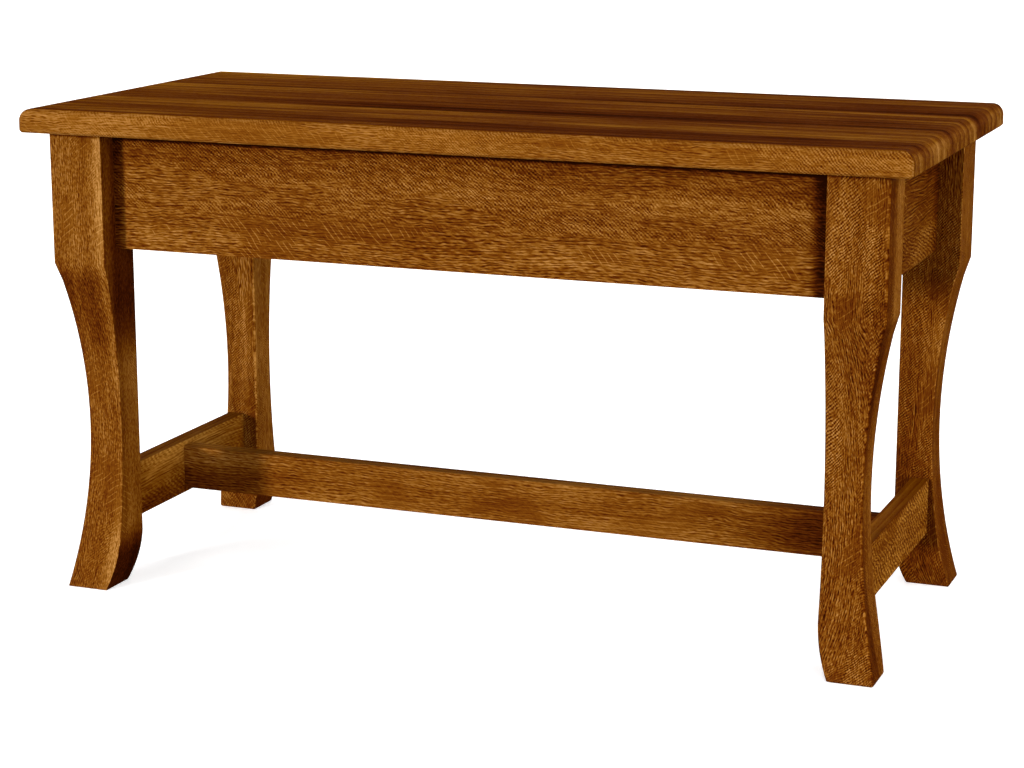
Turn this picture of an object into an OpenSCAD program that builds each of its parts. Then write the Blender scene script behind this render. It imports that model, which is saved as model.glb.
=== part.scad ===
// Bench with a three-board seat, four sabre legs, four aprons and an H stretcher, all in oak.
// Origin: on the floor under the centre of the seat. +X runs along the seat, -Y is the front.

/* [Seat] */
// Length of the seat
seat_l = 914; // [800:1:1300]
// Width of the seat from front to back
seat_w = 426; // [380:1:520]
// Thickness of the seat
seat_t = 24; // [20:0.5:32]
// Radius of the rounding along the seat's upper edges
seat_round_r = 12.5; // [6:0.5:16]
// Radius of the seat's four corners seen from above
seat_corner_r = 6; // [3:0.5:10]
// Size of the small chamfer along the seat's lower edges
seat_chamfer = 2; // [0.5:0.1:3]
// Distance that the seat passes the legs at each end
end_overhang = 24; // [12:0.5:60]
// Distance that the seat passes the legs at the front and back
side_overhang = 21; // [10:0.5:40]

/* [Legs] */
// Height of the seat's underside above the floor
leg_h = 481; // [440:1:560]
// Width of a leg's square post
leg_size = 59; // [54:0.5:72]
// Height of the knee, where the post ends and the hollow begins
knee_h = 346; // [330:1:356]
// Height of the flat bevel just below the knee
knee_bevel_h = 19; // [8:0.5:30]
// Depth of the hollow in the outer faces at the leg's waist
waist_depth = 21.6; // [12:0.1:23]
// Height of the waist above the floor
waist_h = 174; // [160:1:185]
// Radius of the hollow of the outer faces
hollow_r = 730; // [680:1:800]
// Height at which the inner faces start to sweep out to the foot
sweep_h = 60; // [30:1:60]
// Radius of that sweep
sweep_r = 147; // [130:1:260]
// How far the sweep's circle passes the inner face, so that they meet at a small angle
sweep_proud = 0.15; // [0.05:0.05:0.5]

/* [Aprons] */
// Height of an apron
apron_h = 120; // [90:1:123]
// Thickness of an apron
apron_t = 20; // [18:0.5:24]
// Distance from a leg's outer face back to an apron's outer face
apron_setback = 24.5; // [16:0.5:28]

/* [Stretchers] */
// Height of the stretchers' centre line above the floor
stretcher_mid_h = 89.5; // [89.5:0.5:120]
// Height of a side stretcher's board
side_stretcher_h = 58; // [50:1:58]
// Height of the centre stretcher's board
centre_stretcher_h = 47; // [36:1:50]
// Thickness of the side stretchers
side_stretcher_t = 18; // [16:0.5:22]
// Thickness of the centre stretcher
centre_stretcher_t = 18; // [14:0.5:24]
// Distance from a leg's outer face back to a side stretcher's outer face
stretcher_setback = 23.5; // [22.5:0.5:30]

/* [Tenons] */
// Thickness of the tenons
tenon_t = 8; // [6:0.5:10]
// Length of the side stretchers' tenons
stretcher_tenon_l = 24; // [12:0.5:28]
// Length of the centre stretcher's stub tenons
stub_tenon_l = 10; // [6:0.5:13]
// Shoulder above an apron's tenon
apron_top_shoulder = 18; // [16:0.5:30]
// Shoulder below a tenon, and above it on the stretchers
tenon_shoulder = 8; // [4:0.5:12]
// Gap for glue between the cheeks of a tenon and its mortise
glue_gap = 0.15; // [0.05:0.05:0.3]
// Gap for glue at the end of a tenon
end_gap = 0.8; // [0.3:0.1:1.5]

/* [Corner blocks] */
// Length of a corner block along each apron
block_l = 88; // [70:1:110]
// Height of a corner block
block_h = 34; // [26:1:50]
// Width of the blunt tips of a corner block
block_tip = 8; // [5:0.5:14]
// Play between a corner block's notch and the leg's corner
notch_gap = 0.2; // [0.1:0.05:0.5]
// Distance of a block's screw from the block's tip
block_screw_in = 34; // [28:1:38]

/* [Seat clips] */
// Distance between neighbouring clips along the front and back aprons
clip_spacing = 230; // [150:1:250]
// Width of a clip
clip_w = 16; // [14:1:24]
// Thickness of the clip's steel
clip_t = 1.5; // [1:0.1:2.5]
// Drop of a clip from its plate to its tongue
clip_drop = 11; // [8:0.5:12]
// Reach of a clip's plate from its step to its end
clip_reach = 19; // [16:0.5:26]
// Distance between an apron's inner face and a clip's step
clip_stand_off = 5; // [2:0.5:8]
// Depth of the groove that takes the clips' tongues
groove_depth = 8; // [6:0.5:9]
// Height of that groove
groove_h = 3.2; // [2.6:0.1:4]
// Play between a tongue and the top of the groove
groove_play = 0.2; // [0.1:0.1:0.4]
// Gap between the end of a tongue and the bottom of the groove
tongue_gap = 1; // [0.5:0.1:2]

/* [Screws] */
// Diameter of the screws' shanks
screw_d = 4; // [3:0.1:4.5]
// Diameter of the screws' heads
screw_head_d = 8; // [7:0.1:9]
// Height of the screws' heads
screw_head_h = 2.6; // [2:0.1:3.5]
// Length of a clip's screw under its head
clip_screw_l = 16; // [12:0.5:18]
// Length of a corner block's screw under its head
block_screw_l = 32; // [26:0.5:34]
// Depth that a corner block's screw goes into the apron
block_screw_bite = 14; // [10:0.5:15]
// Play round a screw in its pilot hole, on the radius
pilot_gap = 0.1; // [0.05:0.05:0.2]
// Play round a screw in a clearance hole or a head in its counterbore, on the radius
clear_gap = 0.4; // [0.2:0.1:0.6]
// Wood or air left beyond a screw's point in its hole
point_gap = 1; // [0.5:0.1:2]

/* [Hidden] */

// Number of seat boards, one for each seat_board node
board_count = 3;
board_w = seat_w / board_count;

// The legs' outer faces, as distances from the centre planes
leg_out_x = seat_l / 2 - end_overhang;
leg_out_y = seat_w / 2 - side_overhang;

// Inner face and middle plane of an apron, as distances from the leg's outer face
apron_in = apron_setback + apron_t;
apron_mid = apron_setback + apron_t / 2;

// The aprons' lower edge and their tenons' span in height
apron_z = leg_h - apron_h;
apron_tenon_z = apron_z + tenon_shoulder;
apron_tenon_h = apron_h - tenon_shoulder - apron_top_shoulder;

// Slope of the bevel under the knee, which meets the hollow at the bevel's lower end
bevel_z = knee_h - knee_bevel_h;
bevel_depth = waist_depth - hollow_r + sqrt(pow(hollow_r, 2) - pow(bevel_z - waist_h, 2));
bevel_slope = bevel_depth / knee_bevel_h;

// Middle and inner face of a side stretcher, as distances from the leg's outer face
stretcher_mid = stretcher_setback + side_stretcher_t / 2;
stretcher_in = stretcher_setback + side_stretcher_t;

// Height of the top of the clips' groove
groove_top = leg_h - clip_drop + clip_t + groove_play;

// Radii of a screw's pilot hole and of its clearance hole
pilot_r = screw_d / 2 + pilot_gap;
clear_r = screw_d / 2 + clear_gap;

// Distance of a corner block's screw from the leg's outer face
block_screw_x = apron_in + block_l - block_screw_in;

// Distance of a clip's screw from the apron's inner face
clip_screw_in = clip_stand_off + clip_t + (clip_reach - clip_t) / 2;

// A screw head's rim, crown and cross slot, as shares of the head's height or diameter
head_rim_share = 0.55;
head_crown_share = 0.3;
slot_depth_share = 0.5;
slot_l_share = 0.55;
slot_w_share = 0.14;

// Cuts run this far past the faces that they open
past = 1;

// Sides of a full circle: the seat's roundings and corners, the legs' curves, and screws with their holes
round_sides = 96;
corner_sides = 48;
curve_sides = 240;
hole_sides = 32;

// Places of the clips on the aprons' inner faces: [x, y, direction of the seat's middle in degrees]
clip_y = leg_out_y - apron_in;
clip_x = leg_out_x - apron_in;
clip_places = [
    for (i = [-1:1]) [i * clip_spacing, -clip_y, 90],
    for (i = [-1:1]) [i * clip_spacing, clip_y, 270],
    [-clip_x, 0, 0],
    [clip_x, 0, 180]
];

oak = "#8a4c17";
oak_dark = "#6b3410";
oak_light = "#a5601f";
steel = "#a9adb0";

// Puts a shape drawn at the front left leg's outer corner at the corner named by two signs
module at_corner(side_x, side_y)
    translate([side_x * leg_out_x, side_y * leg_out_y, 0])
        mirror([side_x > 0 ? 1 : 0, 0, 0])
            mirror([0, side_y > 0 ? 1 : 0, 0])
                children();

// Seat

// Area cut away past an edge of the seat that stands at 0: a quarter round above, a small chamfer below
module edge_cut() {
    difference() {
        translate([-seat_round_r, seat_t - seat_round_r])
            square(seat_round_r + past);
        translate([-seat_round_r, seat_t - seat_round_r])
            circle(r = seat_round_r, $fn = round_sides);
    }
    polygon([[-seat_chamfer, 0], [0, seat_chamfer], [past, seat_chamfer], [past, -past], [-seat_chamfer, -past]]);
}

// Section across the whole seat
module seat_section(width)
    difference() {
        translate([-width / 2, 0])
            square([width, seat_t]);
        for (side = [0, 1])
            mirror([side, 0])
                translate([width / 2, 0])
                    edge_cut();
    }

// What is cut away outside one corner's radius, with the edge's section turned round the corner's centre at 0
module corner_cut()
    difference() {
        translate([0, 0, -past])
            cube([seat_corner_r + past, seat_corner_r + past, seat_t + 2 * past]);
        rotate_extrude($fn = corner_sides)
            difference() {
                square([seat_corner_r, seat_t]);
                translate([seat_corner_r, 0])
                    edge_cut();
            }
    }

// The whole seat before it is split into boards
module seat_blank()
    translate([0, 0, leg_h])
        difference() {
            intersection() {
                translate([0, seat_w / 2, 0])
                    rotate([90, 0, 0])
                        linear_extrude(seat_w)
                            seat_section(seat_l);
                translate([-seat_l / 2, 0, 0])
                    rotate([90, 0, 90])
                        linear_extrude(seat_l)
                            seat_section(seat_w);
            }
            for (x = [0, 1], y = [0, 1])
                mirror([x, 0, 0])
                    mirror([0, y, 0])
                        translate([seat_l / 2 - seat_corner_r, seat_w / 2 - seat_corner_r, 0])
                            corner_cut();
        }

// One board of the seat, counted from the front, with the pilot holes for its clips' screws
module seat_board(number)
    difference() {
        intersection() {
            seat_blank();
            translate([-seat_l / 2 - past, -seat_w / 2 + number * board_w, leg_h - past])
                cube([seat_l + 2 * past, board_w, seat_t + 2 * past]);
        }
        for (place = clip_places)
            at_clip(place)
                translate([clip_screw_in, 0, -past])
                    cylinder(r = pilot_r, h = past + clip_screw_l - clip_t + point_gap, $fn = hole_sides);
    }

// Legs

// Outline of a leg's face, with the outer edge at zero: post, knee, hollow and foot.
// The circles are turned half round, so that they start and end away from the leg.
module leg_profile()
    difference() {
        square([leg_size, leg_h]);
        // The hollow, held back to the bevel's line between the knee and the bevel's lower end
        intersection() {
            translate([waist_depth - hollow_r, waist_h])
                rotate(180)
                    circle(r = hollow_r, $fn = curve_sides);
            polygon([[-past, knee_h], [0, knee_h], [bevel_slope * (knee_h + past), -past], [-past, -past]]);
        }
        difference() {
            translate([leg_size / 2, -past])
                square([leg_size, sweep_h + past]);
            translate([leg_size - sweep_r + sweep_proud, sweep_h])
                rotate(180)
                    circle(r = sweep_r, $fn = curve_sides);
        }
    }

// The same outline sawn from two sides at right angles
module leg_blank()
    intersection() {
        translate([0, leg_size, 0])
            rotate([90, 0, 0])
                linear_extrude(leg_size)
                    leg_profile();
        rotate([90, 0, 90])
            linear_extrude(leg_size)
                leg_profile();
    }

// Mortise for an apron along X, open at the leg's inner face
module apron_mortise() {
    cheek = apron_mid - tenon_t / 2 - glue_gap;
    translate([cheek, cheek, apron_tenon_z - glue_gap])
        cube([leg_size, tenon_t + 2 * glue_gap, apron_tenon_h + 2 * glue_gap]);
}

// Mortise for a side stretcher, which runs along Y
module stretcher_mortise()
    translate([stretcher_mid - tenon_t / 2 - glue_gap, leg_size - stretcher_tenon_l - end_gap,
               stretcher_mid_h - side_stretcher_h / 2 + tenon_shoulder - glue_gap])
        cube([tenon_t + 2 * glue_gap, stretcher_tenon_l + end_gap + past,
              side_stretcher_h - 2 * tenon_shoulder + 2 * glue_gap]);

module leg(side_x, side_y)
    at_corner(side_x, side_y)
        difference() {
            leg_blank();
            apron_mortise();
            mirror([1, -1, 0])
                apron_mortise();
            stretcher_mortise();
        }

// Aprons

// Repeats what is drawn at one end of a length along X at its other end, mirrored
module both_ends(length) {
    children();
    translate([length, 0, 0])
        mirror([1, 0, 0])
            children();
}

// Tenon of an apron that starts at this corner and runs along X, its end cut at 45 degrees
module apron_tenon()
    translate([0, 0, apron_tenon_z])
        linear_extrude(apron_tenon_h)
            polygon([
                [apron_mid - tenon_t / 2 + end_gap, apron_mid - tenon_t / 2],
                [leg_size, apron_mid - tenon_t / 2],
                [leg_size, apron_mid + tenon_t / 2],
                [apron_mid + tenon_t / 2 + end_gap, apron_mid + tenon_t / 2]
            ]);

// Hole along Y for the screw that holds a corner block to the apron along X
module block_screw_hole(radius, length)
    translate([block_screw_x, apron_in - block_screw_bite - point_gap, leg_h - block_h / 2])
        rotate([-90, 0, 0])
            cylinder(r = radius, h = length, $fn = hole_sides);

// Apron along X from this corner to the next, given the distance between the two legs' outer faces
module apron(legs_l) {
    clear_l = legs_l - 2 * leg_size;
    difference() {
        union() {
            translate([leg_size, apron_setback, apron_z])
                cube([clear_l, apron_t, apron_h]);
            both_ends(legs_l)
                apron_tenon();
        }
        both_ends(legs_l)
            block_screw_hole(pilot_r, block_screw_bite + point_gap + past);
        // Groove for the clips' tongues
        translate([leg_size - past, apron_in - groove_depth, groove_top - groove_h])
            cube([clear_l + 2 * past, groove_depth + past, groove_h]);
    }
}

module long_apron(side_y)
    at_corner(-1, side_y)
        apron(2 * leg_out_x);

module end_apron(side_x)
    at_corner(side_x, -1)
        mirror([1, -1, 0])
            apron(2 * leg_out_y);

// Stretchers

module side_stretcher(side_x) {
    shoulder_l = 2 * (leg_out_y - leg_size);
    bottom = stretcher_mid_h - side_stretcher_h / 2;
    difference() {
        at_corner(side_x, -1) {
            translate([stretcher_setback, leg_size, bottom])
                cube([side_stretcher_t, shoulder_l, side_stretcher_h]);
            translate([stretcher_mid - tenon_t / 2, leg_size - stretcher_tenon_l, bottom + tenon_shoulder])
                cube([tenon_t, shoulder_l + 2 * stretcher_tenon_l, side_stretcher_h - 2 * tenon_shoulder]);
        }
        // Mortise for the centre stretcher's stub tenon
        at_corner(side_x, -1)
            translate([stretcher_in - stub_tenon_l - end_gap, leg_out_y - tenon_t / 2 - glue_gap,
                       stretcher_mid_h - centre_stretcher_h / 2 + tenon_shoulder - glue_gap])
                cube([stub_tenon_l + end_gap + past, tenon_t + 2 * glue_gap,
                      centre_stretcher_h - 2 * tenon_shoulder + 2 * glue_gap]);
    }
}

module centre_stretcher() {
    shoulder_l = 2 * (leg_out_x - stretcher_in);
    stub_tenon_h = centre_stretcher_h - 2 * tenon_shoulder;
    translate([0, 0, stretcher_mid_h]) {
        cube([shoulder_l, centre_stretcher_t, centre_stretcher_h], center = true);
        cube([shoulder_l + 2 * stub_tenon_l, tenon_t, stub_tenon_h], center = true);
    }
}

// Corner blocks

// Outline from above: a triangle with blunt tips, notched round the leg's inner corner
module block_outline() {
    notch = leg_size + notch_gap;
    far = apron_in + block_l;
    polygon([
        [notch, apron_in], [far, apron_in], [far, apron_in + block_tip],
        [apron_in + block_tip, far], [apron_in, far], [apron_in, notch], [notch, notch]
    ]);
}

// Counterbored hole for the screw that goes through the block into the apron along X
module block_counterbore() {
    head_at = apron_in - block_screw_bite + block_screw_l;
    block_screw_hole(clear_r, block_screw_l + point_gap + past);
    translate([block_screw_x, head_at, leg_h - block_h / 2])
        rotate([-90, 0, 0])
            cylinder(r = screw_head_d / 2 + clear_gap, h = block_l, $fn = hole_sides);
}

module corner_block(side_x, side_y)
    at_corner(side_x, side_y)
        difference() {
            translate([0, 0, leg_h - block_h])
                linear_extrude(block_h)
                    block_outline();
            block_counterbore();
            mirror([1, -1, 0])
                block_counterbore();
        }

// Fasteners

// Screw with a low round head and a cross slot: its head rests on z = 0 and its point is below
module screw(length) {
    point_l = screw_d;
    head_r = screw_head_d / 2;
    slot_depth = screw_head_h * slot_depth_share;
    slot_l = screw_head_d * slot_l_share;
    slot_w = screw_head_d * slot_w_share;
    difference() {
        rotate_extrude($fn = hole_sides)
            polygon([
                [0, -length], [screw_d / 2, -length + point_l], [screw_d / 2, 0], [head_r, 0],
                [head_r, screw_head_h * head_rim_share], [screw_head_d * head_crown_share, screw_head_h],
                [0, screw_head_h]
            ]);
        for (turn = [0, 90])
            rotate([0, 0, turn])
                translate([-slot_l / 2, -slot_w / 2, screw_head_h - slot_depth])
                    cube([slot_l, slot_w, slot_depth + past]);
    }
}

// The corner block's screw into the apron along X
module block_screw()
    translate([block_screw_x, apron_in - block_screw_bite + block_screw_l, leg_h - block_h / 2])
        rotate([-90, 0, 0])
            screw(block_screw_l);

// Puts a shape at a clip's place. It is drawn with the apron's inner face at x = 0 and the seat's
// underside at z = 0.
module at_clip(place)
    translate([place[0], place[1], leg_h])
        rotate([0, 0, place[2]])
            children();

// Z-shaped clip: plate under the seat, step down, tongue into the groove, and a hole for its screw
module clip() {
    plate_end = clip_stand_off + clip_reach;
    step_in = clip_stand_off + clip_t;
    tongue_end = tongue_gap - groove_depth;
    difference() {
        translate([0, clip_w / 2, 0])
            rotate([90, 0, 0])
                linear_extrude(clip_w)
                    polygon([
                        [clip_stand_off, 0], [plate_end, 0], [plate_end, -clip_t], [step_in, -clip_t],
                        [step_in, -clip_drop], [tongue_end, -clip_drop], [tongue_end, -clip_drop + clip_t],
                        [clip_stand_off, -clip_drop + clip_t]
                    ]);
        translate([clip_screw_in, 0, -clip_t - past])
            cylinder(r = clear_r, h = clip_t + 2 * past, $fn = hole_sides);
    }
}

// Sub-parts

module seat_board_front() color(oak_light) seat_board(0);
module seat_board_middle() color(oak) seat_board(1);
module seat_board_back() color(oak_light) seat_board(2);
module leg_front_left() color(oak) leg(-1, -1);
module leg_front_right() color(oak) leg(1, -1);
module leg_back_left() color(oak) leg(-1, 1);
module leg_back_right() color(oak) leg(1, 1);
module apron_front() color(oak_light) long_apron(-1);
module apron_back() color(oak_light) long_apron(1);
module apron_left() color(oak_dark) end_apron(-1);
module apron_right() color(oak_dark) end_apron(1);
module stretcher_left() color(oak_dark) side_stretcher(-1);
module stretcher_right() color(oak_dark) side_stretcher(1);
module stretcher_centre() color(oak_light) centre_stretcher();
module corner_block_front_left() color(oak_dark) corner_block(-1, -1);
module corner_block_front_right() color(oak_dark) corner_block(1, -1);
module corner_block_back_left() color(oak_dark) corner_block(-1, 1);
module corner_block_back_right() color(oak_dark) corner_block(1, 1);

module corner_block_screws()
    color(steel)
        for (side_x = [-1, 1], side_y = [-1, 1])
            at_corner(side_x, side_y) {
                block_screw();
                mirror([1, -1, 0])
                    block_screw();
            }

module seat_clips()
    color(steel)
        for (place = clip_places)
            at_clip(place)
                clip();

module seat_clip_screws()
    color(steel)
        for (place = clip_places)
            at_clip(place)
                translate([clip_screw_in, 0, -clip_t])
                    mirror([0, 0, 1])
                        screw(clip_screw_l);

seat_board_front();
seat_board_middle();
seat_board_back();
leg_front_left();
leg_front_right();
leg_back_left();
leg_back_right();
apron_front();
apron_back();
apron_left();
apron_right();
stretcher_left();
stretcher_right();
stretcher_centre();
corner_block_front_left();
corner_block_front_right();
corner_block_back_left();
corner_block_back_right();
corner_block_screws();
seat_clips();
seat_clip_screws();
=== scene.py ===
"""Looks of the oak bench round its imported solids: stained oak, zinc steel, floor, soft light and camera."""

import math
from dataclasses import dataclass

import bpy
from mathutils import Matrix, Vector

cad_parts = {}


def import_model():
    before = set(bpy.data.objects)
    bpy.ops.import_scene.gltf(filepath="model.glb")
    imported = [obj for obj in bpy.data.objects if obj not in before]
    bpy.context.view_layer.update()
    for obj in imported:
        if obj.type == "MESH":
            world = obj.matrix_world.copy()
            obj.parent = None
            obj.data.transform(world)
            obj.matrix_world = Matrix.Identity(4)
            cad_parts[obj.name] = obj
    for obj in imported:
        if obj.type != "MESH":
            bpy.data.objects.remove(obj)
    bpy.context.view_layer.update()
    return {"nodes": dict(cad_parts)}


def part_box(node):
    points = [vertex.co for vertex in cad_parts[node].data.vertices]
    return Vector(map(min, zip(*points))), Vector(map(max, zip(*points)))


MM = 0.001
TURN = 2 * math.pi

# Camera, as fitted to the photograph's frame of 1024 by 768 pixels
CAMERA_AT = (0.922, -2.3479, 0.7891)
CAMERA_YAW = math.radians(21.54)
CAMERA_PITCH = math.radians(12.84)
CAMERA_LENS_MM = 87.14
SENSOR_MM = 36.0

# Soft lights by name: azimuth right of the bench's front, elevation and width in degrees, strength
LIGHTS = {
    "key_light": (-27, 8, 7, 3.5),
    "front_light": (42, 4, 50, 2.2),
    "side_light": (98, 16, 50, 1.9),
    "top_light": (0, 84, 60, 1.9),
    "bounce_light": (0, -70, 120, 1.2),
    "back_light": (185, 15, 60, 2.1),
}
# Lights that leave no shine on the wood
DULL_LIGHTS = ("back_light",)

FLOOR_HALF = 20.0
FLOOR_GREY = (249, 249, 249)
FLOOR_ROUGHNESS = 0.9
FLOOR_SHINE = 0.1
FLOOR_GLOW = 0.6

# Stained oak in 8-bit screen colours, from 0, the deepest stain, to 1, a bare ray flake, whose lightness is
# partly its own and partly painted sheen
OAK_SCALE = [
    (0.00, (28, 6, 0)),
    (0.22, (60, 21, 2)),
    (0.36, (79, 35, 5)),
    (0.50, (98, 53, 8)),
    (0.62, (117, 72, 20)),
    (0.80, (145, 99, 46)),
    (1.00, (172, 127, 70)),
]
OAK_MIDDLE = 0.5
# Tint and strength of the lacquer's shine, and its roughness between the pores and in them
AMBER = (255, 190, 110)
LACQUER_SHINE = 0.005
LACQUER_ROUGHNESS = (0.58, 0.75)
# Depth of the oak's pores and fleck as bump
OAK_BUMP = 0.2 * MM

# Zinc plate in 8-bit screen colours, where its clouds are dark and where they are light
ZINC_SCALE = [(0.3, (136, 138, 140)), (0.7, (188, 190, 190))]
ZINC_ROUGHNESS = (0.5, 0.32)
ZINC_BUMP = 0.05 * MM

# How far a face looks along an axis, from where it starts to count as one of its kind to where it fully does
END_FACING = (0.6, 0.9)
LEG_SIDE_FACING = (0.3, 0.8)
FIGURED_FACING = (0.12, 0.5)
ARRIS_FACING = (0.2, 0.5)

# Where in the timber each seed's piece is cut: a step for each seed, and a start, in mm
SEED_STEP = Vector((173.0, 61.0, 97.0))
SEED_START = Vector((0.0, 40.0, 20.0))
# How far in mm the grain wanders sideways
GRAIN_WANDER = 14.0
# Distances in mm between the threads or rows of the fleck, and between the lines of the ray flakes
FLECK_GAP = 2.5
FLAKE_GAP = 5.0
# Turn in degrees of the bold dashes from along the grain
BOLD_TURN = -12.0
# How far rows of fleck and lines of flakes wander, in gaps
FLECK_WANDER = 3.0
FLAKE_WANDER = 2.0
# Where on a noise the patches of ray flakes begin and are full
FLAKE_PATCHES = (0.595, 0.655)
# Tones added in the pores, and between the flakes of a patch
PORE_TONE = -0.10
PATCH_TONE = -0.07
# Strengths of the stripes on plain faces and on figured ones, and of the streaks on plain ones
PLAIN_STRIPES = 0.3
FIGURED_STRIPES = 0.12
PLAIN_STREAKS = 0.34

# Eased edges of the legs: their radius, how far below the seat they stop, and their steps
LEG_EASE = 3.0 * MM
EASE_STOP = 3.0 * MM
EASE_SEGMENTS = 4
# From what angle an edge is sharp, up to what angle two faces are one, and how near two corners are one
SHARP_ANGLE = math.radians(28)
FLAT_ANGLE = math.radians(0.2)
MERGE_GAP = 0.01 * MM

# Looks that several pieces share, as fields of Wood
# On the seat, plain_tone darkens the top, partly as plain oak's own tone and partly as painted shade;
# side_tint takes the blue out of that painted shade; end_tone lightens the ends as a painted sheen on their
# rounding
SEAT_LOOKS = dict(
    axes="xzy", tone=0.1, fleck=0.2, fleck_size=0.9, weave=0.4, flakes=0.1, plain_tone=-0.18, end_tone=0.12,
    plain_bands=0.8, band_across=60.0, band_deep=34.0, rings=0.24, ring_gap=21.0,
    side_tint=(1.0, 0.95, 0.3, 1.0),
)
ALL_LEGS = dict(
    axes="zxy", all_round=True, bands=0.3, fleck_size=0.9, weave_turns=(-45.0, 60.0), flakes=0.18,
    flake_turn=-38.0, wear_and_highlight=0.24, side_fleck=0.8, side_tint=(1.0, 0.9, 0.6, 1.0),
)
LONG_RAIL = dict(axes="xzy", fleck_size=1.1)
SHORT_RAIL = dict(axes="yzx", fleck_size=1.3, stretch=2.4, tint=(1.0, 0.93, 0.7, 1.0))
PALE_WEAVE = dict(pale=True, weave_turns=(25.0, -65.0), tint=(1.0, 0.9, 0.5, 1.0))
# Lighter, warmer tops for stretchers that the seat shades: painted light
PAINTED_LIGHT_TOP = dict(plain_tone=0.2, side_tint=(1.0, 0.85, 0.4, 1.0))
BLOCK_LOOKS = dict(axes="xzy", tone=0.1, fleck=0.08, flakes=0.0)

# Each piece's own looks, since no two legs, aprons or stretchers look alike
LEG_LOOKS = {
    "leg_back_left": dict(seed=11, tone=-0.015, side_tone=0.13, fleck=0.26, bold=0.4, weave=0.4, clouds=0.2),
    "leg_back_right": dict(seed=12, tone=-0.145, side_tone=0.1, fleck=0.3, bold=0.3, weave=0.6, clouds=0.15),
    "leg_front_left": dict(
        seed=71, tone=-0.01, side_tone=0.09, fleck=0.2, bold=0.5, weave=0.1, thread=3.5, streaks=0.1,
        clouds=0.25,
    ),
    "leg_front_right": dict(
        seed=54, tone=-0.065, side_tone=-0.07, fleck=0.32, bold=0.35, weave=0.45, thread=4.5, clouds=0.15,
    ),
}
RAIL_LOOKS = {
    "apron_back": dict(seed=21, tone=0.03, fleck=0.26, clouds=0.12),
    "apron_front": dict(
        seed=61, tone=0.06, fleck=0.26, bold=0.4, weave=0.5, changes_at=(396, 410), clouds=0.12,
    ),
    "apron_left": dict(seed=23, tone=0.0, fleck=0.24, clouds=0.12),
    "apron_right": dict(seed=24, tone=0.0, fleck=0.28, clouds=0.3),
    "stretcher_centre": dict(
        seed=25, tone=0.06, fleck=0.2, weave=-1.0, flakes=0.04, streaks=0.4, clouds=0.2, **PAINTED_LIGHT_TOP,
    ),
    "stretcher_left": dict(seed=26, tone=0.06, fleck=0.2, weave=0.6, clouds=0.3, **PALE_WEAVE),
    "stretcher_right": dict(
        seed=27, tone=0.05, fleck=0.3, weave=1.0, clouds=0.2, **PALE_WEAVE, **PAINTED_LIGHT_TOP,
    ),
}
FIRST_SEAT_SEED = 1
FIRST_BLOCK_SEED = 41
STEEL_NODES = ("corner_block_screws", "seat_clips", "seat_clip_screws")


def linear(colour):
    """An 8-bit screen colour as linear RGBA."""
    parts = [c / 255 for c in colour]
    return [p / 12.92 if p <= 0.04045 else ((p + 0.055) / 1.055) ** 2.4 for p in parts] + [1.0]


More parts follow.
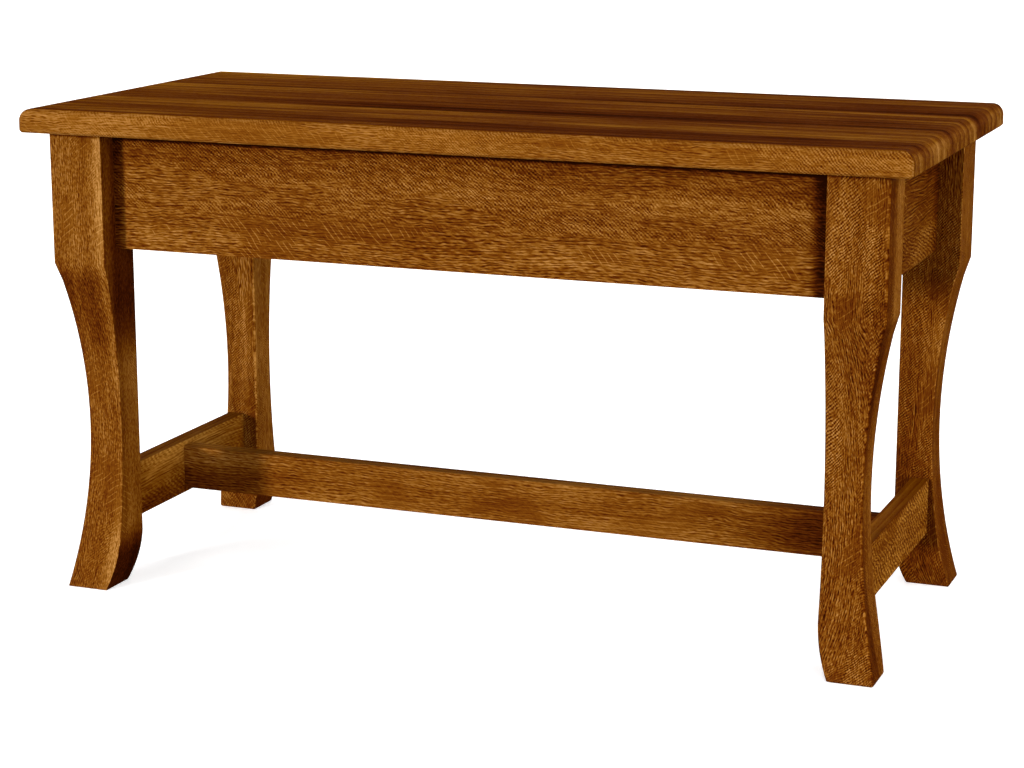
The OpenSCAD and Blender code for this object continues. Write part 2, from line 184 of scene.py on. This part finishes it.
class Graph:
    """A node tree being filled: each method adds one node or a few and returns an output socket."""

    def __init__(self, tree):
        self.tree = tree

    def add(self, kind, inputs=(), **settings):
        """Adds a node and returns it. inputs are (socket name or number, value or socket) pairs."""
        node = self.tree.nodes.new(kind)
        for name, value in settings.items():
            setattr(node, name, value)
        for key, value in inputs:
            if isinstance(value, bpy.types.NodeSocket):
                self.tree.links.new(value, node.inputs[key])
            else:
                node.inputs[key].default_value = value
        return node

    def link(self, output, node_input):
        self.tree.links.new(output, node_input)

    def math(self, operation, *values):
        return self.add("ShaderNodeMath", enumerate(values), operation=operation).outputs[0]

    def times_plus(self, value, factor, more):
        return self.math("MULTIPLY_ADD", value, factor, more)

    def times(self, *values):
        product = values[0]
        for value in values[1:]:
            product = self.math("MULTIPLY", product, value)
        return product

    def rest_of(self, share):
        """What a share from 0 to 1 leaves."""
        return self.math("SUBTRACT", 1.0, share)

    def centred(self, noise):
        """A noise from 0 to 1 as one from -0.5 to 0.5."""
        return self.math("SUBTRACT", noise, 0.5)

    def wave(self, phase):
        """A sine that repeats each time the phase grows by 1."""
        return self.math("SINE", self.times(phase, TURN))

    def vector(self, x, y, z):
        return self.add("ShaderNodeCombineXYZ", enumerate((x, y, z))).outputs[0]

    def split(self, vector):
        return self.add("ShaderNodeSeparateXYZ", [(0, vector)]).outputs[:3]

    def vector_math(self, operation, *values):
        return self.add("ShaderNodeVectorMath", enumerate(values), operation=operation).outputs[0]

    def scaled(self, vector, scale):
        return self.add("ShaderNodeVectorMath", [(0, vector), ("Scale", scale)], operation="SCALE").outputs[0]

    def place_mm(self):
        """The place on the piece in mm."""
        return self.scaled(self.add("ShaderNodeTexCoord").outputs["Object"], 1 / MM)

    def noise(self, vector, detail=2.0, roughness=0.5):
        inputs = [("Vector", vector), ("Scale", 1.0), ("Detail", detail), ("Roughness", roughness)]
        return self.add("ShaderNodeTexNoise", inputs).outputs["Fac"]

    def remap(self, value, low, high, to_low=0.0, to_high=1.0):
        """A smooth step from to_low at low to to_high at high."""
        inputs = [("Value", value), ("From Min", low), ("From Max", high)]
        inputs += [("To Min", to_low), ("To Max", to_high)]
        return self.add("ShaderNodeMapRange", inputs, interpolation_type="SMOOTHSTEP").outputs["Result"]

    def mix(self, factor, a, b):
        """A number from a at factor 0 to b at factor 1."""
        inputs = [("Factor", factor), ("A", a), ("B", b)]
        return self.add("ShaderNodeMix", inputs, data_type="FLOAT").outputs[0]

    def tinted(self, factor, colour, tint):
        """A colour multiplied by a tint, as far as the factor says."""
        inputs = [("Factor", factor), ("A", colour), ("B", tint)]
        return self.add("ShaderNodeMix", inputs, data_type="RGBA", blend_type="MULTIPLY").outputs["Result"]

    def ramp(self, factor, stops):
        """A colour ramp through (position, 8-bit colour) stops."""
        node = self.add("ShaderNodeValToRGB", [(0, factor)])
        band = node.color_ramp
        while len(band.elements) < len(stops):
            band.elements.new(0.5)
        for element, (position, colour) in zip(band.elements, stops):
            element.position = position
            element.color = linear(colour)
        return node.outputs["Color"]

    def bump(self, height, strength, distance):
        inputs = [("Height", height), ("Strength", strength), ("Distance", distance)]
        return self.add("ShaderNodeBump", inputs).outputs[0]


def material_graph(name):
    """A new material, its node graph and its principled shader."""
    material = bpy.data.materials.new(name)
    material.use_nodes = True
    return material, Graph(material.node_tree), material.node_tree.nodes["Principled BSDF"]


@dataclass
class StainAndPaintedLight:
    """A tone added to part of a piece: real stain, or painted shade or light. Along each axis given it grows
    from the first place to the second, in mm, and where there are four places it ends between the last two."""

    tone: float
    x: tuple = ()
    y: tuple = ()
    z: tuple = ()
    # "all" faces, or only the "side" or the "front" ones, as Faces has them
    faces: str = "all"

    def share(self, graph, faces, place):
        """How much of the stain is at a place, from 0 to 1."""
        share = {"all": 1.0, "side": faces.side, "front": faces.front}[self.faces]
        for number, ends in zip(place, (self.x, self.y, self.z)):
            if ends:
                share = graph.times(share, graph.remap(number, ends[0], ends[1]))
            if len(ends) == 4:
                share = graph.times(share, graph.remap(number, ends[2], ends[3], 1.0, 0.0))
        return share


@dataclass
class Wood:
    """How one piece's oak looks. Sizes are in mm, turns in degrees, tones and strengths on OAK_SCALE."""

    # Axes of the grain, of what lies across it, and that the figured faces look along
    axes: str
    # Picks where in the timber the piece was cut
    seed: int
    # Whether all four long faces are figured, as on a glued-up leg, and not just two
    all_round: bool = False
    # Tones added everywhere, on side faces, on plain faces, on end grain, and on the arrises as wear and a
    # painted highlight
    tone: float = 0.0
    side_tone: float = 0.0
    plain_tone: float = -0.05
    end_tone: float = -0.12
    wear_and_highlight: float = 0.0
    # Factors on the colour of the whole piece, and on that of the side faces
    tint: tuple = (1.0, 1.0, 1.0, 1.0)
    side_tint: tuple = (1.0, 1.0, 1.0, 1.0)
    # Where the stain has gathered or worn off, and where shade and light are painted
    stains: tuple = ()

    # Strength and coarseness of the fine fleck, and the side faces' share of it
    fleck: float = 0.24
    fleck_size: float = 1.0
    side_fleck: float = 1.0
    # Length of the fleck's threads and bold dashes, and strength of the dashes
    thread: float = 8.0
    bold: float = 0.3
    # How much of the fleck is woven aslant (the rest runs with the grain), and whether the weave is pale
    weave: float = 0.38
    pale: bool = False
    # Turns of the weave's rows and of the dashes across them, from square across the grain
    weave_turns: tuple = (50.0, -45.0)
    # How much longer fleck and flakes are along the grain than on a common piece
    stretch: float = 1.0

    # Strength of the long ray flakes, and their turn from square across the grain
    flakes: float = 0.24
    flake_turn: float = 40.0
    # Heights between which the ray flakes below give way to the weave above; without them, both are anywhere
    changes_at: tuple = ()

    # Strengths of the growth bands on figured and on plain faces, and the bands' widths
    bands: float = 0.28
    plain_bands: float = 0.6
    band_across: float = 17.0
    band_deep: float = 30.0
    # Strength of the rings' crisp late edges on plain faces, and the rings' width
    rings: float = 0.2
    ring_gap: float = 9.0
    # Strengths of the fine streaks on figured faces and of the broad clouds in the stain
    streaks: float = 0.22
    clouds: float = 0.12


class Grain:
    """Coordinates in mm of a piece's timber: along the grain, across it and into the figured face."""

    def __init__(self, graph, along, across, deep):
        self.graph = graph
        self.along = along
        self.across = across
        self.deep = deep

    def noise(self, along_mm, across_mm, deep_mm, shift=0.0, detail=2.0, roughness=0.5):
        """Noise whose features have about these sizes. Each shift gives another noise."""
        sizes = (along_mm, across_mm, deep_mm)
        places = (self.along, self.across, self.deep)
        scaled = [self.graph.times_plus(place, 1 / size, shift) for place, size in zip(places, sizes)]
        return self.graph.noise(self.graph.vector(*scaled), detail, roughness)

    def soft_noise(self, along_mm, across_mm, deep_mm, shift=0.0):
        """Noise without its finest features."""
        return self.noise(along_mm, across_mm, deep_mm, shift, detail=1.0)

    def bent(self, reach, by):
        """The same timber with its grain bent sideways by a noise from 0 to 1."""
        return Grain(self.graph, self.along, self.graph.times_plus(by, reach, self.across), self.deep)

    def turned(self, angle):
        """The same timber with its grain turned by an angle, in degrees, within the figured face."""
        c = math.cos(math.radians(angle))
        s = math.sin(math.radians(angle))
        along = self.graph.times_plus(self.along, c, self.graph.times(self.across, s))
        across = self.graph.times_plus(self.across, c, self.graph.times(self.along, -s))
        return Grain(self.graph, along, across, self.deep)

    def stretched(self, times):
        """The same timber with everything drawn on it so many times longer along the grain."""
        return Grain(self.graph, self.graph.times(self.along, 1 / times), self.across, self.deep)

    def lines(self, gap, bend, by):
        """Phase of lines square to the grain, gap apart, bent by a noise."""
        return self.graph.times_plus(by, bend, self.graph.times(self.along, 1 / gap))


def piece_grain(graph, wood):
    """The grain of a piece, from its own coordinates."""
    start = SEED_STEP * wood.seed + SEED_START
    parts = graph.split(graph.vector_math("ADD", graph.place_mm(), start))
    along, across, deep = [parts["xyz".index(letter)] for letter in wood.axes]
    if wood.all_round:
        # The growth rings run cornerwise, so that the figure turns round each corner
        across, deep = graph.math("SUBTRACT", across, deep), graph.math("ADD", across, deep)
    grain = Grain(graph, along, across, deep)
    return grain.bent(GRAIN_WANDER, grain.soft_noise(180, 60, 90))


class Faces:
    """Kinds of face, each as how far from 0 to 1 the face being shaded is one. Figured faces show fleck and
    flakes, and plain ones the growth rings. On a leg, side faces look along the second of the wood's axes and
    are figured like the front ones; on other pieces, they are the plain ones."""

    def __init__(self, graph, wood):
        normal = graph.split(graph.add("ShaderNodeTexCoord").outputs["Normal"])
        self.facing = [graph.math("ABSOLUTE", normal["xyz".index(letter)]) for letter in wood.axes]
        self.end = graph.remap(self.facing[0], *END_FACING)
        if wood.all_round:
            self.figured = graph.rest_of(self.end)
            self.side = graph.remap(self.facing[1], *LEG_SIDE_FACING)
        else:
            self.figured = graph.remap(self.facing[2], *FIGURED_FACING)
            self.side = graph.rest_of(self.figured)
        self.plain = graph.rest_of(self.figured)
        self.front = graph.rest_of(self.side)


def broken_threads(graph, grain, wood):
    """Wavy broken threads along the grain, from dark at -1 to light at 0.5."""
    size = wood.fleck_size
    wavy = grain.bent(7.0 * size, grain.noise(24 * size, 8 * size, 40, shift=1.7))
    waves = graph.math("SINE", graph.times(wavy.across, TURN / (FLECK_GAP * size)))
    unbroken = graph.remap(grain.soft_noise(wood.thread * size, 2.2 * size, 12, shift=4.4), 0.34, 0.64)
    return graph.times(graph.remap(waves, -0.7, 0.9, 0.5, -1.0), unbroken)


def slanting_dots(graph, grain, wood):
    """Slanting rows of dots, where rows and dashes cross, from dark at -1 to light at 0.7."""
    gap = FLECK_GAP * wood.fleck_size
    rows_turn, dashes_turn = wood.weave_turns
    jitter = graph.times(grain.soft_noise(8, 5, 20, shift=11.3), 1.3)
    rows = grain.turned(rows_turn).lines(gap, FLECK_WANDER, grain.soft_noise(55, 32, 70, shift=2.9))
    dashes = grain.turned(dashes_turn).lines(gap, FLECK_WANDER, grain.soft_noise(45, 28, 70, shift=5.9))
    rows = graph.wave(graph.math("ADD", rows, jitter))
    dashes = graph.wave(graph.math("SUBTRACT", dashes, jitter))
    dots = graph.remap(graph.times_plus(dashes, 0.5, rows), -1.1, 1.2, 0.7, -1.0)
    depth = graph.remap(grain.soft_noise(6, 3, 12, shift=7.7), 0.32, 0.62, 0.25, 1.0)
    return graph.times(dots, depth, -1.0 if wood.pale else 1.0)


def fleck_figure(graph, grain, wood, above):
    """Fine fleck: broken threads, slanting dots in patches of it, and bold short dashes over both."""
    middle = 0.66 - 0.32 * wood.weave
    woven = graph.remap(grain.noise(120, 42, 80, shift=6.1), middle - 0.1, middle + 0.1)
    if wood.changes_at:
        woven = graph.times(woven, above)
    figure = graph.mix(woven, broken_threads(graph, grain, wood), slanting_dots(graph, grain, wood))
    dashes = grain.turned(BOLD_TURN).soft_noise(wood.thread, 2.2, 9, shift=9.2)
    return graph.math("ADD", figure, graph.remap(dashes, 0.3, 0.7, -wood.bold, wood.bold))


def ray_flakes(graph, grain, wood, above):
    """Long thin ray flakes from 0 to 1, in patches, and the patches themselves."""
    aslant = grain.turned(wood.flake_turn)
    lines = aslant.lines(FLAKE_GAP, FLAKE_WANDER, grain.soft_noise(60, 34, 60, shift=3.9))
    off_line = graph.math("ABSOLUTE", graph.centred(graph.math("FRACT", lines)))
    line = graph.remap(off_line, 0.02, 0.15, 1.0, 0.0)
    patch = graph.remap(grain.soft_noise(85, 36, 90, shift=12.5), *FLAKE_PATCHES)
    if wood.changes_at:
        patch = graph.times(patch, graph.rest_of(above))
    unbroken = graph.remap(aslant.soft_noise(5, 15, 9, shift=15.1), 0.42, 0.52)
    return graph.times(line, patch, unbroken), patch


def growth_layers(graph, grain, faces, wood):
    """Bands, stripes, streaks, clouds and ring edges of the timber, as (amount, strength) pairs."""
    bands = grain.noise(600, wood.band_across, wood.band_deep)
    stripes = grain.soft_noise(240, 7, 8, shift=18.4)
    streaks = grain.noise(75, 2.6, 4.5, shift=7.3, detail=3.0, roughness=0.6)
    clouds = grain.noise(120, 55, 55, shift=21.7)
    wander = grain.noise(500, 70, 70, shift=31.1)
    ring = graph.math("FRACT", graph.times_plus(wander, 2.5, graph.times(grain.deep, 1 / wood.ring_gap)))
    # A ring darkens slowly through its width and turns light again at its late edge
    ring_edges = graph.math("SUBTRACT", graph.remap(ring, 0.88, 1.0), ring)
    return [
        (graph.centred(bands), graph.mix(faces.figured, wood.plain_bands, wood.bands)),
        (graph.centred(stripes), graph.mix(faces.figured, PLAIN_STRIPES, FIGURED_STRIPES)),
        (graph.centred(streaks), graph.mix(faces.figured, PLAIN_STREAKS, wood.streaks)),
        (graph.centred(clouds), wood.clouds * 2),
        (graph.times(ring_edges, faces.plain), wood.rings),
    ]


def worn_and_lit_arrises(graph, grain, faces):
    """Where the long edges are lighter, from 0 to 1: partly wear, and partly a painted highlight where their
    rounding catches the light.
    """
    arris = graph.remap(graph.math("MINIMUM", faces.facing[1], faces.facing[2]), *ARRIS_FACING)
    dotted = graph.remap(grain.noise(5, 5, 5, shift=41.3), 0.4, 0.6)
    return graph.times(arris, dotted)


def oak(name, wood):
    """Quartersawn oak under a brown stain, with a dull lacquer."""
    material, graph, shader = material_graph(name)
    grain = piece_grain(graph, wood)
    faces = Faces(graph, wood)
    place = graph.split(graph.place_mm())
    above = graph.remap(place[2], *wood.changes_at) if wood.changes_at else 1.0
    figure_grain = grain.stretched(wood.stretch)
    fleck = graph.times(fleck_figure(graph, figure_grain, wood, above), faces.figured)
    fleck = graph.times(fleck, graph.mix(faces.side, 1.0, wood.side_fleck))
    flake, patch = ray_flakes(graph, figure_grain, wood, above)
    pores = graph.remap(grain.soft_noise(7, 0.55, 0.55, shift=3.1), 0.34, 0.44, 1.0, 0.0)

    # All of it adds up to one number from dark to light, which picks the colour
    layers = growth_layers(graph, grain, faces, wood)
    layers += [
        (fleck, graph.mix(patch, wood.fleck, wood.fleck / 2)),
        (graph.times(patch, faces.figured), PATCH_TONE),
        (faces.plain, wood.plain_tone),
        (faces.side, wood.side_tone),
    ]
    # Wear and a painted highlight on the arrises
    if wood.wear_and_highlight:
        layers.append((worn_and_lit_arrises(graph, grain, faces), wood.wear_and_highlight))
    layers += [
        (faces.end, wood.end_tone),
        (pores, PORE_TONE),
        (graph.times(flake, faces.figured), wood.flakes),
    ]
    # Stains, and painted shade and light, on parts of the piece
    layers += [(stain.share(graph, faces, place), stain.tone) for stain in wood.stains]
    value = OAK_MIDDLE + wood.tone
    for amount, strength in layers:
        value = graph.times_plus(amount, strength, value)

    # End grain takes little of the side faces' tint
    side_share = graph.times(faces.side, graph.times_plus(faces.end, -0.7, 1.0))
    colour = graph.tinted(1.0, graph.ramp(value, OAK_SCALE), wood.tint)
    graph.link(graph.tinted(side_share, colour, wood.side_tint), shader.inputs["Base Color"])
    graph.link(graph.remap(pores, 0.0, 1.0, *LACQUER_ROUGHNESS), shader.inputs["Roughness"])
    shader.inputs["Specular IOR Level"].default_value = LACQUER_SHINE
    shader.inputs["Specular Tint"].default_value = linear(AMBER)
    height = graph.times_plus(pores, -0.7, graph.times(fleck, 0.3))
    graph.link(graph.bump(height, 0.5, OAK_BUMP), shader.inputs["Normal"])
    return material


def zinc(name):
    """Dull zinc plate with faint clouds and fine draw marks."""
    material, graph, shader = material_graph(name)
    place = graph.place_mm()
    x, y, z = graph.split(place)
    clouds = graph.noise(graph.scaled(place, 0.3), detail=4.0)
    marks = graph.noise(graph.vector(graph.times(x, 6.0), y, graph.times(z, 6.0)))
    graph.link(graph.ramp(clouds, ZINC_SCALE), shader.inputs["Base Color"])
    shader.inputs["Metallic"].default_value = 1.0
    graph.link(graph.remap(clouds, 0.3, 0.7, *ZINC_ROUGHNESS), shader.inputs["Roughness"])
    graph.link(graph.bump(marks, 0.2, ZINC_BUMP), shader.inputs["Normal"])
    return material


def geometry_group(name):
    """An empty geometry node group with its graph and the socket that brings the mesh."""
    group = bpy.data.node_groups.new(name, "GeometryNodeTree")
    group.interface.new_socket("Mesh", in_out="INPUT", socket_type="NodeSocketGeometry")
    group.interface.new_socket("Mesh", in_out="OUTPUT", socket_type="NodeSocketGeometry")
    graph = Graph(group)
    return group, graph, graph.add("NodeGroupInput").outputs[0]


def joined_faces():
    """Joins the faces' corners and drops the stored normals, so that the edges can be rounded."""
    group, graph, mesh = geometry_group("joined_faces")
    inputs = [("Geometry", mesh), ("Distance", MERGE_GAP)]
    merged = graph.add("GeometryNodeMergeByDistance", inputs).outputs[0]
    inputs = [("Mesh", merged), ("Remove Custom", True)]
    plain = graph.add("GeometryNodeSetMeshNormal", inputs, mode="SHARPNESS").outputs[0]
    graph.add("NodeGroupOutput", [(0, plain)])
    return group


def marked_edges(name, low, high):
    """Gives the sharp edges between two corners their bevel weight, and keeps the other sharp edges crisp."""
    group, graph, mesh = geometry_group(name)
    place = graph.add("GeometryNodeInputPosition").outputs[0]
    above = graph.vector_math("SUBTRACT", place, low)
    below = graph.vector_math("SUBTRACT", high, place)
    room = graph.split(graph.vector_math("MINIMUM", above, below))
    least = graph.math("MINIMUM", room[0], graph.math("MINIMUM", room[1], room[2]))
    angle = graph.add("GeometryNodeInputMeshEdgeAngle").outputs["Unsigned Angle"]
    sharp = graph.math("GREATER_THAN", angle, SHARP_ANGLE)
    weight = graph.times(graph.math("GREATER_THAN", least, 0.0), sharp)
    crisp = graph.math("SUBTRACT", sharp, weight)
    inputs = [("Geometry", mesh), ("Name", "bevel_weight_edge"), ("Value", weight)]
    stored = graph.add("GeometryNodeStoreNamedAttribute", inputs, data_type="FLOAT", domain="EDGE").outputs[0]
    inputs = [("Mesh", stored), ("Edge Sharpness", crisp)]
    shaded = graph.add("GeometryNodeSetMeshNormal", inputs, mode="SHARPNESS").outputs[0]
    graph.add("NodeGroupOutput", [(0, shaded)])
    return group


def ease_edges(piece, radius, low, high):
    """Rounds a wooden piece's edges between two corners of the frame, without touching its flat faces."""
    joined = piece.modifiers.new("joined_faces", "NODES")
    joined.node_group = bpy.data.node_groups.get("joined_faces") or joined_faces()
    flat = piece.modifiers.new("whole_faces", "DECIMATE")
    flat.decimate_type = "DISSOLVE"
    flat.angle_limit = FLAT_ANGLE
    marks = piece.modifiers.new("marked_edges", "NODES")
    marks.node_group = marked_edges("eased_" + piece.name, low, high)
    bevel = piece.modifiers.new("eased_edges", "BEVEL")
    bevel.limit_method = "WEIGHT"
    bevel.width = radius
    bevel.segments = EASE_SEGMENTS
    bevel.harden_normals = True


def floor():
    """A wide pale floor under the feet. A soft light from below stands in for its bounce and passes through
    it, and the floor itself lights nothing."""
    low, high = -FLOOR_HALF, FLOOR_HALF
    mesh = bpy.data.meshes.new("floor")
    corners = [(low, low, 0), (high, low, 0), (high, high, 0), (low, high, 0)]
    mesh.from_pydata(corners, [], [(0, 1, 2, 3)])
    material, graph, shader = material_graph("floor_paper")
    shader.inputs["Base Color"].default_value = linear(FLOOR_GREY)
    shader.inputs["Roughness"].default_value = FLOOR_ROUGHNESS
    shader.inputs["Specular IOR Level"].default_value = FLOOR_SHINE
    shader.inputs["Emission Color"].default_value = linear(FLOOR_GREY)
    shader.inputs["Emission Strength"].default_value = FLOOR_GLOW
    mesh.materials.append(material)
    obj = bpy.data.objects.new("floor", mesh)
    obj.visible_diffuse = False
    obj.visible_glossy = False
    obj.visible_shadow = False
    bpy.context.scene.collection.objects.link(obj)


def soft_light(name, azimuth, elevation, width, strength):
    """A distant soft light. azimuth is right of the bench's front; all three angles are in degrees."""
    a = math.radians(azimuth)
    e = math.radians(elevation)
    away = Vector((math.sin(a) * math.cos(e), -math.cos(a) * math.cos(e), math.sin(e)))
    data = bpy.data.lights.new(name, "SUN")
    data.energy = strength
    data.angle = math.radians(width)
    light = bpy.data.objects.new(name, data)
    light.rotation_mode = "QUATERNION"
    light.rotation_quaternion = away.to_track_quat("Z", "Y")
    light.visible_glossy = name not in DULL_LIGHTS
    bpy.context.scene.collection.objects.link(light)


def studio():
    """A low key light from the front left, weaker ones all round, and a white room that lights no wood."""
    for name, settings in LIGHTS.items():
        soft_light(name, *settings)
    world = bpy.data.worlds.new("room")
    world.use_nodes = True
    world.node_tree.nodes["Background"].inputs["Color"].default_value = (1, 1, 1, 1)
    world.cycles_visibility.diffuse = False
    world.cycles_visibility.glossy = False
    bpy.context.scene.world = world


def camera():
    """The camera at the photograph's angle; the colours are shown as they are."""
    data = bpy.data.cameras.new("camera")
    data.sensor_width = SENSOR_MM
    data.lens = CAMERA_LENS_MM
    obj = bpy.data.objects.new("camera", data)
    obj.location = CAMERA_AT
    obj.rotation_euler = (math.pi / 2 - CAMERA_PITCH, 0, CAMERA_YAW)
    bpy.context.scene.collection.objects.link(obj)
    bpy.context.scene.camera = obj
    bpy.context.scene.view_settings.view_transform = "Standard"


def box_mm(name):
    """The two corners of a CAD node's box, in mm."""
    return [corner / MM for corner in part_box(name)]


def dress(piece, material):
    """Puts one material in every slot of a CAD node."""
    for slot in piece.material_slots:
        slot.material = material


def dress_oak(nodes, name, **looks):
    """Gives a CAD node its own oak. looks are fields of Wood."""
    dress(nodes[name], oak("oak_" + name, Wood(**looks)))


def dress_seat(nodes):
    """Three boards with their grain along X; each is lighter along its back edge and at its left end."""
    boards = ("seat_board_front", "seat_board_middle", "seat_board_back")
    for seed, name in enumerate(boards, start=FIRST_SEAT_SEED):
        low, high = box_mm(name)
        stains = (StainAndPaintedLight(0.16, y=(low.y, high.y)), StainAndPaintedLight(0.07, x=(low.x + 500, low.x)))
        dress_oak(nodes, name, seed=seed, stains=stains, **SEAT_LOOKS)


def leg_stains(name):
    """Painted shade and light on a leg, such as shade under its knee and the seat and light on its edges and
    feet, and a few tones of its own.
    """
    low, high = box_mm(name)
    # Reaches only the side face that looks to the right, on a left leg
    inner_face = (high.x - 38, high.x - 28)
    own = {
        "leg_front_left": (
            # Painted shade in the hollow under the knee, which faces down; a painted highlight along the
            # right edge of the front face and at the knee; and painted light on the foot, which faces up
            StainAndPaintedLight(-0.22, z=(220, 290, 325, 352), faces="front"),
            StainAndPaintedLight(0.14, x=(high.x - 24, high.x), faces="front"),
            StainAndPaintedLight(0.1, x=(high.x - 12, high.x - 4), z=(230, 280), faces="front"),
            StainAndPaintedLight(0.08, x=(high.x - 32, high.x - 12), z=(80, 45), faces="front"),
            # Painted shade on the inner face behind that edge: under the apron, near the front and on the
            # foot, which faces down
            StainAndPaintedLight(-0.16, x=inner_face, z=(220, 300), faces="side"),
            StainAndPaintedLight(-0.2, x=inner_face, y=(low.y + 5, low.y + 25), z=(220, 300), faces="side"),
            StainAndPaintedLight(-0.5, x=inner_face, z=(70, 30), faces="side"),
        ),
        "leg_front_right": (
            # The lighter back half of the outer face, and painted shade on its knee, which faces down
            StainAndPaintedLight(0.18, y=(low.y + 24, low.y + 32), faces="side"),
            StainAndPaintedLight(-0.2, x=(low.x + 28, low.x + 38), z=(200, 300, 335, 350), faces="side"),
            # The front face: painted shade at the knee, which faces down, and painted light under it and on
            # the foot, which face up
            StainAndPaintedLight(-0.06, z=(235, 300, 360, 385), faces="front"),
            StainAndPaintedLight(0.04, z=(150, 190, 240, 260), faces="front"),
            StainAndPaintedLight(0.08, z=(50, 25), faces="front"),
        ),
        # Painted shade at the foot of the inner face, which faces down
        "leg_back_left": (StainAndPaintedLight(-0.35, x=inner_face, z=(80, 30), faces="side"),),
        "leg_back_right": (StainAndPaintedLight(0.12, x=(388, 402), z=(100, 140, 270, 310), faces="front"),),
    }
    # A little lighter upwards, and a painted shadow line right under the seat
    return (StainAndPaintedLight(0.09, z=(0, 400)), StainAndPaintedLight(-0.3, z=(high.z - 6, high.z - 2.5))) + own[name]


def dress_legs(nodes):
    """Legs with upright grain, figured on all four long faces; their long and foot edges are eased."""
    for name, looks in LEG_LOOKS.items():
        dress_oak(nodes, name, stains=leg_stains(name), **ALL_LEGS, **looks)
        low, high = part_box(name)
        around = Vector((MM, MM, MM))
        below_top = Vector((high.x, high.y, high.z - EASE_STOP))
        ease_edges(nodes[name], LEG_EASE, low - around, below_top + around)


def rail_stains(name, long_way):
    """Painted shade on an apron or a stretcher, under the seat and beside the legs, and a few tones of its
    own.
    """
    stretchers = {
        "stretcher_left": (
            # Light above, dark below and at the back
            StainAndPaintedLight(0.14, z=(85, 105)),
            StainAndPaintedLight(-0.12, z=(85, 65)),
            StainAndPaintedLight(-0.1, y=(60, 130), z=(95, 75)),
        ),
        "stretcher_centre": (
            # Painted shade at both ends, beside the legs
            StainAndPaintedLight(-0.3, x=(230, 345)),
            StainAndPaintedLight(-0.2, x=(-280, -370), z=(105, 75)),
        ),
        "stretcher_right": (),
    }
    if name in stretchers:
        return stretchers[name]
    top = box_mm(name)[1].z
    # Painted shade under the seat's overhang, with a darker painted shadow line
    painted_shade_under_seat = (
        StainAndPaintedLight(-0.16, z=(top - 18, top)),
        StainAndPaintedLight(-0.4, z=(top - 10.5, top - 7)),
        StainAndPaintedLight(-0.1, z=(top - 50, top - 20)),
    )
    # The legs' inner faces are at inner and at minus inner
    inner = -box_mm("leg_front_left")[1]
    # Painted shade of the legs cast on the rail beside them
    if long_way:
        painted_shade_beside_legs = (
            StainAndPaintedLight(-0.45, x=(inner.x - 22, inner.x - 9)),
            StainAndPaintedLight(-0.28, x=(15 - inner.x, 2 - inner.x)),
        )
    else:
        painted_shade_beside_legs = (
            StainAndPaintedLight(-0.14, y=(inner.y - 34, inner.y - 6)),
            StainAndPaintedLight(-0.15, y=(10 - inner.y, -inner.y)),
        )
    return painted_shade_under_seat + painted_shade_beside_legs


def dress_rails(nodes):
    """Aprons and stretchers with level grain, figured on their broad faces."""
    for name, own_looks in RAIL_LOOKS.items():
        low, high = box_mm(name)
        long_way = high.x - low.x > high.y - low.y
        looks = {**(LONG_RAIL if long_way else SHORT_RAIL), **own_looks}
        dress_oak(nodes, name, stains=rail_stains(name, long_way), **looks)


def dress_hidden(nodes):
    """Corner blocks under the seat, and the steel that holds the seat and the blocks."""
    corners = ("front_left", "front_right", "back_left", "back_right")
    for seed, corner in enumerate(corners, start=FIRST_BLOCK_SEED):
        dress_oak(nodes, "corner_block_" + corner, seed=seed, **BLOCK_LOOKS)
    steel = zinc("zinc_plate")
    for name in STEEL_NODES:
        dress(nodes[name], steel)


def main():
    """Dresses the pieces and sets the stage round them."""
    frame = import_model()
    nodes = frame["nodes"]
    dress_seat(nodes)
    dress_legs(nodes)
    dress_rails(nodes)
    dress_hidden(nodes)
    floor()
    studio()
    camera()


main()
